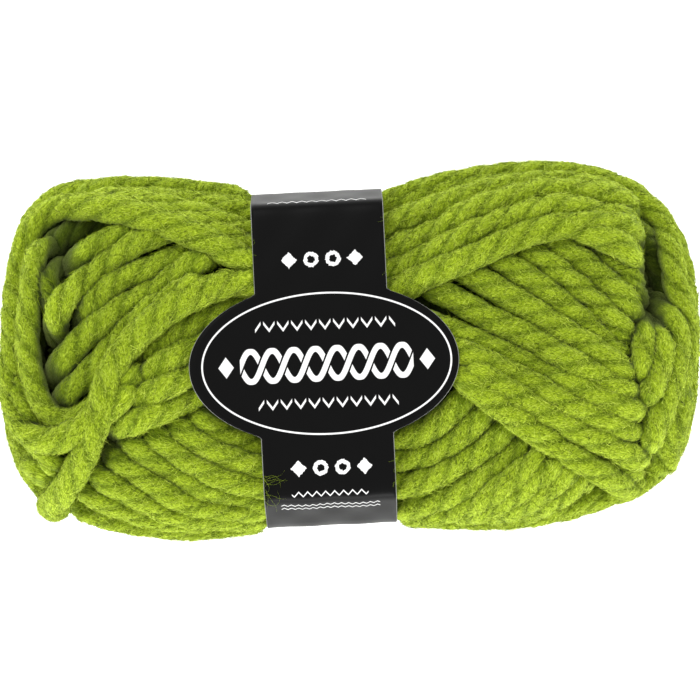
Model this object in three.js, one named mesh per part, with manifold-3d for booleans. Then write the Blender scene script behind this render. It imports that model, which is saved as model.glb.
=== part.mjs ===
// An oblong centre-pull ball of chunky two-ply yarn, held by a card band with an oval front.
// Millimetres. X runs along the ball, Y across it and Z up from the surface it lies on. The
// origin is on that surface, under the middle of the ball.

import * as THREE from 'three';
import { mergeVertices } from 'three/addons/utils/BufferGeometryUtils.js';
import Module from 'manifold-3d';

const wasm = await Module();
wasm.setup();

// The wound form -------------------------------------------------------------------------

const HALF_LENGTH = 79.6;
const HALF_WIDTH = 42;           // roughly, where the search for a rim strand's place starts
const MIDDLE_HEIGHT = 28.7;      // of the wound form's middle above the surface it lies on
const SECTION_SQUARENESS = 2.8;  // 2 would be an ellipse across the ball
const LEFT_SQUARENESS = 7;       // how blunt the end at -X is
const RIGHT_SQUARENESS = 6;
const END_BOW = 6e-5;            // how fast the ends fall back away from the middle line, per mm2

// Half sizes of the cross-section at stations along X, before the ends round off: towards +Y,
// towards -Y, and both up and down.
const SECTIONS = [
  { x: -80, plusY: 41.5, minusY: 39.6, depth: 29.5 },
  { x: -48, plusY: 39.7, minusY: 43.6, depth: 30.2 },
  { x: -26, plusY: 37.0, minusY: 42.0, depth: 29.0 },
  { x: -12, plusY: 34.6, minusY: 39.6, depth: 27.9 },
  { x: 4, plusY: 34.8, minusY: 39.4, depth: 27.9 },
  { x: 24, plusY: 40.6, minusY: 40.4, depth: 29.6 },
  { x: 46, plusY: 43.4, minusY: 39.9, depth: 30.4 },
  { x: 80, plusY: 42.6, minusY: 33.6, depth: 29.5 },
];

// The yarn -------------------------------------------------------------------------------

const YARN_RADIUS = 2.9;
const CORE_INSET = 3;            // the core lies this far under the crests of the twists
const CORE_AROUND = 24;          // facets of the core round the ball
const CORE_ALONG = 18;           // and from end to end
const TWIST_SIDES = 6;
const TWIST_STEP = 10;           // between sections of a twist
const TUCK_LENGTH = 12;          // over which a twist's end dives into the core
const TUCK_DEPTH = 4.5;
const WRAP_LENGTH = 7;           // how far a twist runs on past its drawn course
const WRAP_STEP = 2;
const SEEN_PART = 0.96;          // of the outline from above, within which courses are drawn
const RIM_HEIGHTS = [4, -12];    // of the strands that go right round the sides and ends
const RIM_OVERLAP = 0.02;        // by which the two halves of a rim strand overlap, in turns
const RIM_TURN_STEP = 0.0125;

// Courses of the yarn over the top, in the order it was wound. A bundle is given by its first
// and last strand, and twists is how many of its strands stand out as main twists. A strand
// passes its stations, seen from above, at a heading in degrees from +X towards +Y.
const BUNDLES = [
  { twists: 2,
    first: [{ x: 10, y: -19.9, heading: 0 }, { x: 26, y: -12, heading: 40 }],
    last: [{ x: 27, y: -38, heading: 17 }, { x: 57, y: -30, heading: 20 }] },
  { twists: 3,
    first: [{ x: -19, y: -23.3, heading: 160 }, { x: -37, y: -13, heading: 143 }],
    last: [{ x: -20, y: -37.5, heading: 190 }, { x: -62, y: -35, heading: 150 }] },
  { twists: 4,
    first: [{ x: 48, y: 30.9, heading: -22 }, { x: 68, y: 15, heading: -68 }],
    last: [{ x: 23, y: 1, heading: -27 }, { x: 66, y: -24, heading: -38 }] },
  { twists: 1,
    first: [{ x: -31, y: 6, heading: 206 }, { x: -50, y: -8, heading: 236 }],
    last: [{ x: -31, y: -9.6, heading: 195 }, { x: -54, y: -19.7, heading: 213 }] },
  { twists: 2,
    first: [{ x: -46, y: 27, heading: 183 }, { x: -65, y: 18.7, heading: 224 }],
    last: [{ x: -49, y: 4, heading: 205 }, { x: -67, y: -12.6, heading: 228 }] },
  { twists: 2,
    first: [{ x: 10.5, y: 14.2, heading: 15 }, { x: 28, y: 21.6, heading: 24 },
      { x: 66, y: 27, heading: -8 }],
    last: [{ x: 8, y: 31, heading: 24 }, { x: 24, y: 38, heading: 18 },
      { x: 59, y: 38, heading: -16 }] },
  { twists: 1,
    first: [{ x: -22, y: 34, heading: 170 }, { x: -59, y: 36, heading: 188 }],
    last: [{ x: -22, y: 22.5, heading: 160 }, { x: -57, y: 34, heading: 160 }] },
  { twists: 1,
    first: [{ x: 24.5, y: -5.5, heading: -33 }, { x: 66, y: -32.5, heading: -32 }] },
  { twists: 1,
    first: [{ x: -22.5, y: 15, heading: 178 }, { x: -38, y: 11.3, heading: 213 },
      { x: -51.3, y: 0, heading: 235 }, { x: -58, y: -17, heading: 248 },
      { x: -67.9, y: -36, heading: 245 }] },
  { twists: 1,
    first: [{ x: -22.7, y: 19.5, heading: 168 }, { x: -55, y: 31.2, heading: 163 },
      { x: -65, y: 33, heading: 184 }, { x: -73, y: 22, heading: 258 },
      { x: -75, y: 4, heading: 268 }, { x: -72.5, y: -17, heading: 305 },
      { x: -66.5, y: -21, heading: 366 }, { x: -58, y: -15.5, heading: 400 }] },
];

// The card band --------------------------------------------------------------------------

const CARD_THICKNESS = 1;
const CARD_CLEARANCE = 0.3;      // between the card and the yarn
const BAND_MIDDLE = { x: -5.8, y: -1.9 };
const BAND_TURN = 2.7;           // degrees about Z that the band sits askew
const BAND_HALF_HEIGHT = 37.9;   // outside, across the ball
const BAND_HALF_DEPTH = 28.1;    // outside, up and down
const CREASE_UP = 34.7;          // of the fold at the front's upper end, from the band's middle
const CREASE_DOWN = -31.4;
const FACE_CROWN = 2.6;          // how much the front and back bulge between the folds
const SIDE_HALF_DEPTH = 9;       // of the stretch at full height
const FACE_STEPS = 14;           // facets of the front, and of the back
const STRAP_WIDTH = 29.2;
const OVAL_HALF_LENGTH = 29.8;
const OVAL_HALF_HEIGHT = 17.9;
const OVAL_DROP = 1.4;           // of the oval's middle below the band's
const SEAM_WIDTH = 12;           // the lap where the strap's ends are glued, underneath
const OVAL_POINTS = 40;

const SPACE = 300;               // larger than the ball, for solids that only cut

// Mathematics of the wound form ----------------------------------------------------------

// A smooth curve through a table's column, read at x.
function column(table, name, x) {
  const last = table.length - 1;
  let i = 0;
  while (i < last - 1 && table[i + 1].x < x) i += 1;
  const [before, from, to, after] = [i - 1, i, i + 1, i + 2]
    .map((k) => table[Math.min(Math.max(k, 0), last)]);
  const span = to.x - from.x;
  const t = Math.min(Math.max((x - from.x) / span, 0), 1);
  const slopeFrom = ((to[name] - before[name]) / (to.x - before.x)) * span;
  const slopeTo = ((after[name] - from[name]) / (after.x - from.x)) * span;
  const t2 = t * t;
  const t3 = t2 * t;
  return from[name] * (2 * t3 - 3 * t2 + 1) + slopeFrom * (t3 - 2 * t2 + t)
    + to[name] * (3 * t2 - 2 * t3) + slopeTo * (t3 - t2);
}

// The section's half sizes at x, on a form that lies inset inside the wound one.
function sectionAt(x, inset) {
  return {
    plusY: column(SECTIONS, 'plusY', x) - inset,
    minusY: column(SECTIONS, 'minusY', x) - inset,
    depth: column(SECTIONS, 'depth', x) - inset,
  };
}

function squarenessAt(x) {
  return x < 0 ? LEFT_SQUARENESS : RIGHT_SQUARENESS;
}

// How far towards the end (x, y) is: 1 where the form ends, on the plane of its middle.
function alongAt(x, y, inset) {
  return (Math.abs(x) * (1 + END_BOW * y ** 2)) / (HALF_LENGTH - inset);
}

// How much of its full section the form still has at (x, y), where its ends round off.
function fullness(x, y, inset) {
  const squareness = squarenessAt(x);
  const part = Math.min(alongAt(x, y, inset), 1);
  return (1 - part ** squareness) ** (1 / squareness);
}

// The form's point about x, in the direction (dy, dz) from the middle of its section.
function pointAround(x, dy, dz, inset) {
  const half = sectionAt(x, inset);
  const across = Math.abs(dy) / (dy > 0 ? half.plusY : half.minusY);
  const up = Math.abs(dz) / half.depth;
  const sum = across ** SECTION_SQUARENESS + up ** SECTION_SQUARENESS;
  const reach = fullness(x, 0, inset) * sum ** (-1 / SECTION_SQUARENESS);
  return settle(new THREE.Vector3(x, dy * reach, dz * reach), inset);
}

// The point of the form's upper side that is seen at (x, y) from above, or null where that is
// at its edge or past it.
function pointOnTop({ x, y }, inset) {
  if (Math.abs(x) > (HALF_LENGTH - inset) * SEEN_PART) return null;
  const half = sectionAt(x, inset);
  const full = fullness(x, y, inset);
  const part = Math.abs(y) / ((y > 0 ? half.plusY : half.minusY) * full);
  if (part > SEEN_PART) return null;
  const z = half.depth * full * (1 - part ** SECTION_SQUARENESS) ** (1 / SECTION_SQUARENESS);
  return new THREE.Vector3(x, y, z);
}

// 1 on the form's surface, less inside it and more outside.
function level(p, inset) {
  const half = sectionAt(p.x, inset);
  const across = Math.abs(p.y) / (p.y > 0 ? half.plusY : half.minusY);
  const up = Math.abs(p.z) / half.depth;
  const round = (across ** SECTION_SQUARENESS + up ** SECTION_SQUARENESS) ** (1 / SECTION_SQUARENESS);
  const squareness = squarenessAt(p.x);
  return (alongAt(p.x, p.y, inset) ** squareness + round ** squareness) ** (1 / squareness);
}

// The direction in which the level rises, and how fast.
function gradient(p, inset) {
  const nudge = 0.01;
  const rise = ['x', 'y', 'z'].map((axis) => {
    const ahead = p.clone();
    const behind = p.clone();
    ahead[axis] += nudge;
    behind[axis] -= nudge;
    return (level(ahead, inset) - level(behind, inset)) / (2 * nudge);
  });
  return new THREE.Vector3(...rise);
}

// Moves a nearby point onto the form's surface.
function settle(p, inset) {
  const settled = p.clone();
  for (let round = 0; round < 5; round += 1) {
    const rise = gradient(settled, inset);
    settled.addScaledVector(rise, (1 - level(settled, inset)) / rise.lengthSq());
  }
  return settled;
}

// Solids ---------------------------------------------------------------------------------

function solidOf(geometry) {
  const bare = geometry.clone();
  bare.deleteAttribute('normal');
  bare.deleteAttribute('uv');
  const merged = mergeVertices(bare, 1e-4);
  return new wasm.Manifold(new wasm.Mesh({
    numProp: 3,
    vertProperties: new Float32Array(merged.attributes.position.array),
    triVerts: new Uint32Array(merged.index.array),
  }));
}

// The outer shell alone, without any bubble that crossing strands seal inside.
function filled(solid) {
  return solid.decompose().reduce((most, shell) => (shell.volume() > most.volume() ? shell : most));
}

function geometryOf(solid) {
  const mesh = solid.getMesh();
  const geometry = new THREE.BufferGeometry();
  geometry.setAttribute('position', new THREE.BufferAttribute(mesh.vertProperties, mesh.numProp));
  geometry.setIndex(new THREE.BufferAttribute(mesh.triVerts, 1));
  geometry.computeVertexNormals();
  return geometry;
}

// The plain wound body, as a sphere whose vertices are moved out to the form.
function coreGeometry() {
  const geometry = new THREE.SphereGeometry(1, CORE_AROUND, CORE_ALONG);
  geometry.rotateZ(Math.PI / 2);
  const { position } = geometry.attributes;
  for (let i = 0; i < position.count; i += 1) {
    const x = position.getX(i) * (HALF_LENGTH - CORE_INSET);
    const dy = position.getY(i);
    const dz = position.getZ(i);
    const onAxis = Math.hypot(dy, dz) < 1e-6;
    const p = onAxis ? new THREE.Vector3(x, 0, 0) : pointAround(x, dy, dz, CORE_INSET);
    position.setXYZ(i, p.x, p.y, p.z);
  }
  return geometry;
}

// A strand's course on the wound form, from its stations seen from above. At both ends it
// runs straight on over the form, pulled taut, and tucks in.
function courseOf(stations) {
  const drawn = [];
  for (let i = 0; i + 1 < stations.length; i += 1) {
    const [from, to] = [stations[i], stations[i + 1]];
    const pull = Math.hypot(to.x - from.x, to.y - from.y) / 3;
    const [turnFrom, turnTo] = [from, to].map((s) => THREE.MathUtils.degToRad(s.heading));
    const curve = new THREE.CubicBezierCurve(
      new THREE.Vector2(from.x, from.y),
      new THREE.Vector2(from.x + pull * Math.cos(turnFrom), from.y + pull * Math.sin(turnFrom)),
      new THREE.Vector2(to.x - pull * Math.cos(turnTo), to.y - pull * Math.sin(turnTo)),
      new THREE.Vector2(to.x, to.y),
    );
    drawn.push(...curve.getPoints(Math.ceil((3 * pull) / WRAP_STEP)).slice(i ? 1 : 0));
  }
  const laid = drawn.map((p) => pointOnTop(p, YARN_RADIUS)).filter((p) => p);
  return [...runOn(laid[1], laid[0]).reverse(), ...laid, ...runOn(laid.at(-2), laid.at(-1))];
}

// The taut course past an end, from the end's neighbour and the end itself.
function runOn(neighbour, end) {
  const points = [];
  let here = end;
  let step = end.clone().sub(neighbour).setLength(WRAP_STEP);
  for (let run = 0; run < WRAP_LENGTH; run += WRAP_STEP) {
    const next = settle(here.clone().add(step), YARN_RADIUS);
    step = next.clone().sub(here).setLength(WRAP_STEP);
    points.push(next);
    here = next;
  }
  return points;
}

// A strand's solid along a curve.
function strandSolid(curve, steps) {
  const corners = Array.from({ length: TWIST_SIDES }, (_, i) => {
    const turn = (i / TWIST_SIDES) * 2 * Math.PI;
    return new THREE.Vector2(YARN_RADIUS * Math.cos(turn), YARN_RADIUS * Math.sin(turn));
  });
  const section = new THREE.Shape(corners);
  return solidOf(new THREE.ExtrudeGeometry(section, { steps, extrudePath: curve }));
}

// One main twist: a half-sunk strand whose ends dive into the core.
function twistSolid(stations) {
  const course = new THREE.CatmullRomCurve3(courseOf(stations));
  const length = course.getLength();
  const steps = Math.round(length / TWIST_STEP);
  const points = course.getSpacedPoints(steps).map((p, i) => {
    const fromEnd = (Math.min(i, steps - i) / steps) * length;
    const tuck = TUCK_DEPTH * (1 - THREE.MathUtils.smoothstep(fromEnd, 0, TUCK_LENGTH));
    return p.addScaledVector(gradient(p, YARN_RADIUS).normalize(), -tuck);
  });
  return strandSolid(new THREE.CatmullRomCurve3(points), steps);
}

// A strand right round the sides and ends at a height, made as two halves.
function rimSolid(height) {
  const halves = [0, 0.5].map((from) => {
    const points = [];
    for (let turn = from; turn < from + 0.5 + RIM_OVERLAP; turn += RIM_TURN_STEP) {
      const angle = turn * 2 * Math.PI;
      const out = new THREE.Vector3(HALF_LENGTH * Math.cos(angle), HALF_WIDTH * Math.sin(angle), height);
      points.push(settle(out, YARN_RADIUS));
    }
    const curve = new THREE.CatmullRomCurve3(points);
    return strandSolid(curve, Math.round(curve.getLength() / TWIST_STEP));
  });
  return halves[0].add(halves[1]);
}

// The stations of twist number k of a bundle, blended between its first and last strand.
function strandStations(bundle, k) {
  const part = (k + 0.5) / bundle.twists;
  const last = bundle.last ?? bundle.first;
  return bundle.first.map((station, i) => ({
    x: THREE.MathUtils.lerp(station.x, last[i].x, part),
    y: THREE.MathUtils.lerp(station.y, last[i].y, part),
    heading: THREE.MathUtils.lerp(station.heading, last[i].heading, part),
  }));
}

// The wound body with its main twists. The underside is wound as the top is, half a turn on.
function woundSolid() {
  let wound = solidOf(coreGeometry());
  for (const bundle of BUNDLES) {
    for (let k = 0; k < bundle.twists; k += 1) {
      const twist = twistSolid(strandStations(bundle, k));
      wound = wound.add(twist).add(twist.rotate([0, 180, 0]));
    }
  }
  for (const height of RIM_HEIGHTS) {
    wound = wound.add(rimSolid(height));
  }
  return wound.translate([0, 0, MIDDLE_HEIGHT]);
}

// The band's outer face: a crowned front and back between folds, and upright stretches at the
// sides. It is drawn in the plane that an extrusion along X starts from.
function bandOutline() {
  const middle = (CREASE_UP + CREASE_DOWN) / 2;
  const half = (CREASE_UP - CREASE_DOWN) / 2;
  const front = Array.from({ length: FACE_STEPS + 1 }, (_, i) => {
    const part = 1 - (2 * i) / FACE_STEPS;
    return new THREE.Vector2(middle + part * half, BAND_HALF_DEPTH - FACE_CROWN * part ** 2);
  });
  return [
    ...front,
    new THREE.Vector2(-BAND_HALF_HEIGHT, SIDE_HALF_DEPTH),
    new THREE.Vector2(-BAND_HALF_HEIGHT, -SIDE_HALF_DEPTH),
    ...front.map((p) => new THREE.Vector2(p.x, -p.y)).reverse(),
    new THREE.Vector2(BAND_HALF_HEIGHT, -SIDE_HALF_DEPTH),
    new THREE.Vector2(BAND_HALF_HEIGHT, SIDE_HALF_DEPTH),
  ];
}

// The outline that lies inwards of one that runs counterclockwise, every side by the same.
function insetOutline(outline, inwards) {
  return outline.map((p, i) => {
    const before = p.clone().sub(outline.at(i - 1)).normalize();
    const after = outline[(i + 1) % outline.length].clone().sub(p).normalize();
    const [from, to] = [before, after].map((side) => new THREE.Vector2(-side.y, side.x));
    return p.clone().addScaledVector(from.clone().add(to), inwards / (1 + from.dot(to)));
  });
}

// A shape extruded along X, centred on x = 0. The shape's x is across the ball, its y is up.
function alongX(shape, length) {
  const geometry = new THREE.ExtrudeGeometry(shape, { depth: length, bevelEnabled: false });
  geometry.translate(0, 0, -length / 2);
  geometry.rotateX(Math.PI / 2);
  geometry.rotateZ(Math.PI / 2);
  return solidOf(geometry);
}

function block(sizeX, sizeY, sizeZ, x, y, z) {
  return solidOf(new THREE.BoxGeometry(sizeX, sizeY, sizeZ).translate(x, y, z));
}

// Everything above and below the band's plan: a strap all round and the oval on top.
function bandPlan(grow) {
  const oval = new THREE.Shape();
  const [halfLength, halfHeight] = [OVAL_HALF_LENGTH + grow, OVAL_HALF_HEIGHT + grow];
  oval.absellipse(0, -OVAL_DROP, halfLength, halfHeight, 0, 2 * Math.PI);
  const upright = new THREE.ExtrudeGeometry(oval, {
    depth: SPACE,
    bevelEnabled: false,
    curveSegments: OVAL_POINTS / 2,
  });
  return block(STRAP_WIDTH + 2 * grow, SPACE, SPACE, 0, 0, 0).add(solidOf(upright));
}

// A ring round the ball between two outlines, trimmed to the band's plan.
function bandRing(outside, inside, grow) {
  const shape = new THREE.Shape(outside);
  shape.holes.push(new THREE.Path(inside));
  return alongX(shape, SPACE / 2).intersect(bandPlan(grow));
}

function placeBand(solid) {
  return solid.rotate([0, 0, BAND_TURN]).translate([BAND_MIDDLE.x, BAND_MIDDLE.y, MIDDLE_HEIGHT]);
}

// The card, with its lapped seam underneath, where it is twice as thick inwards.
function bandSolid() {
  const outline = bandOutline();
  const ring = bandRing(outline, insetOutline(outline, CARD_THICKNESS), 0);
  const seam = bandRing(
    insetOutline(outline, CARD_THICKNESS / 2),
    insetOutline(outline, CARD_THICKNESS * 1.5),
    0,
  ).intersect(block(SPACE, SEAM_WIDTH, SPACE, 0, 0, -SPACE / 2));
  return placeBand(ring.add(seam));
}

// What the band presses out of the yarn: all outside its inner face, with the clearance.
function bandPress() {
  const pressed = insetOutline(bandOutline(), CARD_THICKNESS * 1.5 + CARD_CLEARANCE);
  return placeBand(bandRing(insetOutline(pressed, -SPACE / 4), pressed, CARD_CLEARANCE));
}

// The ball -------------------------------------------------------------------------------

function yarnBall() {
  const surface = block(SPACE, SPACE, SPACE, 0, 0, -SPACE / 2);
  const pressed = woundSolid().subtract(bandPress()).subtract(surface);
  const geometry = geometryOf(filled(pressed));
  const material = new THREE.MeshStandardMaterial({ color: 0x8ea62c, roughness: 0.95, metalness: 0 });
  const mesh = new THREE.Mesh(geometry, material);
  mesh.name = 'yarn_ball';
  return mesh;
}

function labelBand() {
  const material = new THREE.MeshStandardMaterial({ color: 0x1a1a1a, roughness: 0.4, metalness: 0 });
  const mesh = new THREE.Mesh(geometryOf(bandSolid()), material);
  mesh.name = 'label_band';
  return mesh;
}

const ball = new THREE.Group();
ball.add(yarnBall(), labelBand());

export default ball;
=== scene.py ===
"""The looks of an oblong ball of chunky yarn in a card band.

The sizes below are in millimetres, in the frame of the CAD model, but with Z counted from the
middle of the wound form. Meshes are made in metres.
"""

import math
from collections import namedtuple
from functools import partialmethod

import bmesh
import bpy
import numpy as np
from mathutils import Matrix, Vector
from mathutils.kdtree import KDTree


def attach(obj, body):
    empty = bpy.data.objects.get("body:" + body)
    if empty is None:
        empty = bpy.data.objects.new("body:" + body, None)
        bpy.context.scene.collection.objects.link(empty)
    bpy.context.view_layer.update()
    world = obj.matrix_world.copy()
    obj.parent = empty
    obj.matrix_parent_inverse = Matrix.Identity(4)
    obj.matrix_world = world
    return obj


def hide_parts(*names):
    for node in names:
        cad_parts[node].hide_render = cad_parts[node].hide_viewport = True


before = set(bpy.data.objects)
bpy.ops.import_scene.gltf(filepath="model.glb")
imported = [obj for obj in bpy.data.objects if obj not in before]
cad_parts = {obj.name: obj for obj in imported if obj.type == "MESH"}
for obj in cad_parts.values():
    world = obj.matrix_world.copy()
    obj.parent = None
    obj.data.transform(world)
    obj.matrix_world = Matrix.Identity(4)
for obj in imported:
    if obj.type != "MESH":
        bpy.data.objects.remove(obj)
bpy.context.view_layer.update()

MM = 0.001
CAMERA_HEIGHT = 900.0  # above the middle of the wound form
VIEW_WIDTH = 160.0  # of the picture, at the middle of the wound form
FAR = 99.0  # more than any distance here

# ---- The wound form

HALF_LENGTH = 79.6
MIDDLE_HEIGHT = 28.7  # of the wound form's middle above the surface it lies on
SECTION_SQUARENESS = 2.8  # 2 would be an ellipse across the ball
LEFT_SQUARENESS = 7.0  # how blunt the end at -X is
RIGHT_SQUARENESS = 6.0
END_BOW = 6e-5  # how much shorter it is, for each square of the distance aside

# Half sizes of the cross-section at stations along X, before the ends round off: towards +Y,
# towards -Y, and both up and down.
SECTIONS = [
    # x, plus_y, minus_y, depth
    (-80, 41.5, 39.6, 29.5),
    (-48, 39.7, 43.6, 30.2),
    (-26, 37.0, 42.0, 29.0),
    (-12, 34.6, 39.6, 27.9),
    (4, 34.8, 39.4, 27.9),
    (24, 40.6, 40.4, 29.6),
    (46, 43.4, 39.9, 30.4),
    (80, 42.6, 33.6, 29.5),
]
SECTION_X, PLUS_Y, MINUS_Y, DEPTH = np.array(SECTIONS, dtype=float).T


def column(values, x):
    """A smooth curve through a column of SECTIONS, read at x."""
    at = SECTION_X
    x = np.clip(x, at[0], at[-1])
    rise, run = (c[2:] - c[:-2] for c in (np.pad(values, 1, "edge"), np.pad(at, 1, "edge")))
    slope = rise / run
    i = np.clip(np.searchsorted(at, x) - 1, 0, len(at) - 2)
    span = at[i + 1] - at[i]
    t = (x - at[i]) / span
    return (values[i] * (2 * t**3 - 3 * t**2 + 1) + slope[i] * span * (t**3 - 2 * t**2 + t)
            + values[i + 1] * (3 * t**2 - 2 * t**3) + slope[i + 1] * span * (t**3 - t**2))


def squareness_at(x):
    return np.where(x < 0, LEFT_SQUARENESS, RIGHT_SQUARENESS)


def half_width(x, side):
    """How far the form reaches towards +Y or -Y, by the sign of side."""
    return np.where(side > 0, column(PLUS_Y, x), column(MINUS_Y, x))


def level(p, inset):
    """1 on the surface that lies inset inside the wound form, less inside it, more outside."""
    x, y, z = np.moveaxis(p, -1, 0)
    across = np.abs(y) / (half_width(x, y) - inset)
    up = np.abs(z) / (column(DEPTH, x) - inset)
    around = (across**SECTION_SQUARENESS + up**SECTION_SQUARENESS) ** (1 / SECTION_SQUARENESS)
    along = np.abs(x) * (1 + END_BOW * y**2) / (HALF_LENGTH - inset)
    m = squareness_at(x)
    return (along**m + around**m) ** (1 / m)


def gradient(p, inset):
    """The direction in which the level rises, and how fast."""
    nudge = 0.01
    steps = np.eye(3) * nudge
    rises = [level(p + s, inset) - level(p - s, inset) for s in steps]
    return np.stack(rises, axis=-1) / (2 * nudge)


def unit(v):
    return v / np.maximum(np.linalg.norm(v, axis=-1, keepdims=True), 1e-9)


STEP_ROUNDS, NEAR_ROUNDS, FAR_ROUNDS = 2, 3, 6  # of settling, by how far points have to move


def settle(p, inset, rounds=NEAR_ROUNDS):
    """Moves nearby points onto the surface."""
    for _ in range(rounds):
        g = gradient(p, inset)
        gap = 1 - level(p, inset)
        p = p + g * (gap / np.maximum((g * g).sum(-1), 1e-12))[..., None]
    return p


def on_top(seen, inset, edge):
    """The points on the surface at inset that lie under the places the camera sees.

    The places are of middles of strands on the outside. Those drawn along the outline or past
    it are put next to it, at the height edge.
    """
    height = np.zeros(len(seen))
    for _ in range(3):
        x, y = (seen * (1 - height[:, None] / CAMERA_HEIGHT)).T
        m = squareness_at(x)
        along = np.minimum(np.abs(x) * (1 + END_BOW * y**2) / (HALF_LENGTH - SEEN_INSET), 1)
        full = np.maximum(1 - along**m, 1e-6) ** (1 / m)
        part = np.minimum(np.abs(y) / ((half_width(x, y) - SEEN_INSET) * full), 1)
        rise = (1 - part**SECTION_SQUARENESS) ** (1 / SECTION_SQUARENESS)
        height = np.maximum((column(DEPTH, x) - SEEN_INSET) * full * rise, edge)
    outside = settle(np.column_stack([x, y, height]), SEEN_INSET, FAR_ROUNDS)
    return settle(outside, inset, FAR_ROUNDS)


# ---- The yarn

YARN_RADIUS = 3.1  # out to the crests of the plies
BASE_INSET = 8.0  # of the middles of the strands that lie on no other
STEP = 1.3  # between sections of a strand
SEEN_INSET = 3.0  # of the middles of the outermost strands
RIM_HEIGHT = 5.0  # where a course passes that is drawn along the outline or past it
CROSSING = 4.4  # between the middles of two strands that cross, pressed together
BESIDE = 4.6  # between the middles of two strands side by side in a bundle
MOST_LIFT = 5.5  # off the base surface, in a strand's middle
DEEPEST = -1.0  # where nothing lies under a strand
LEAST_LIFT = 1.5  # in the middle of the top, over turns that aren't modelled
RIM_LIFT = 4.3  # the same, where the surface turns down to the sides
UNDER_LIFT = 3.0  # and at the rims of the underside
RIM_TURN = (0.03, 0.35)  # how far the surface has turned down where a rim begins and is full
DENT = (79, -15, 9, -1.8)  # x, y, reach and depth of a hollow in the right end
EASING = 8  # rounds of smoothing of a course
SLACK = 0.035  # how fast a strand sags off a crossing, for each step squared
SAG_ROUNDS = 60
LIFT_EASING = 3
SEARCH_REACH = 9.0  # for the strands that a strand may lie on

# How a strand goes on past its drawn course: how far, and how far past it begins to tuck in.
TAILS = {"band": (16, 10), "under": (5, -5), "round": (32, 22)}
TUCK_LENGTH = 6.5
TUCK_DEPTH = 5.0
DIVE = 0.4  # how far a tuck leans to the middle rather than straight down

# Strands side by side. Some of them are given, by number, and the others lie between. A strand
# passes its stations (x, y, heading), as the camera sees them, with the heading in degrees from
# +X towards +Y. start and end name its tails. least is its least lift, edge its height where it
# is drawn along the outline, and thick its share of the usual thickness. proud holds the places
# where it stands out more: x, y, reach and how much.
Bundle = namedtuple("Bundle", "name start end strands least edge thick proud",
                    defaults=(0, RIM_HEIGHT, 1, ()))
ROUND = Bundle("round", None, None, None)  # the strands round the sides

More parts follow.
